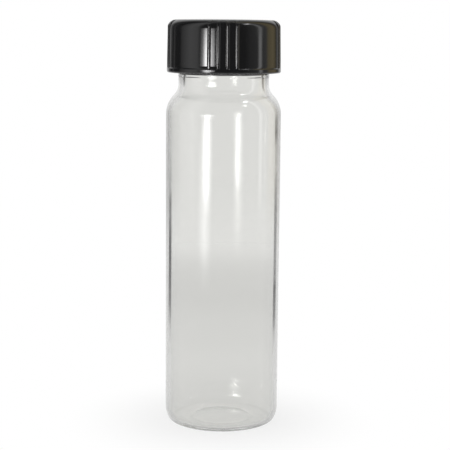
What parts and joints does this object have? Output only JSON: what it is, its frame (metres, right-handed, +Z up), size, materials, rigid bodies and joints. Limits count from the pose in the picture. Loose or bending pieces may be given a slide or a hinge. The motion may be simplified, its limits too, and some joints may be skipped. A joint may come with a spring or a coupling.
{
  "type": "sample vial",
  "caption": "Clear glass sample vial with rounded shoulders, a threaded neck, a ribbed closed-top screw cap and a liner disc.",
  "frame": {"origin": "centre of the foot, on the surface that the vial stands on", "axes": "+Z up the vial's axis to the cap; one of the cap's four rib groups faces -Y"},
  "size_m": [0.0274, 0.0274, 0.0977],
  "materials": {
    "clear_glass": "clear, polished",
    "black_phenolic": "moulded, glossy",
    "white_liner": "smooth, matte"
  },
  "bodies": {
    "vial": {"glass_vial": "clear_glass"},
    "liner": {"cap_liner": "white_liner"},
    "cap": {"screw_cap": "black_phenolic"}
  },
  "joints": [
    {"name": "cap_lift", "type": "slide", "parent": "vial", "child": "liner", "axis": [0, 0, 1], "range_m": [0, 0.01115]},
    {"name": "cap_turn", "type": "hinge", "parent": "liner", "child": "cap", "pos_m": [0, 0, 0.096], "axis": [0, 0, 1], "range_deg": [0, 1260]}
  ],
  "couplings": [
    {"joint": "cap_lift", "follows": "cap_turn", "m_per_rad": 0.00050532}
  ]
}
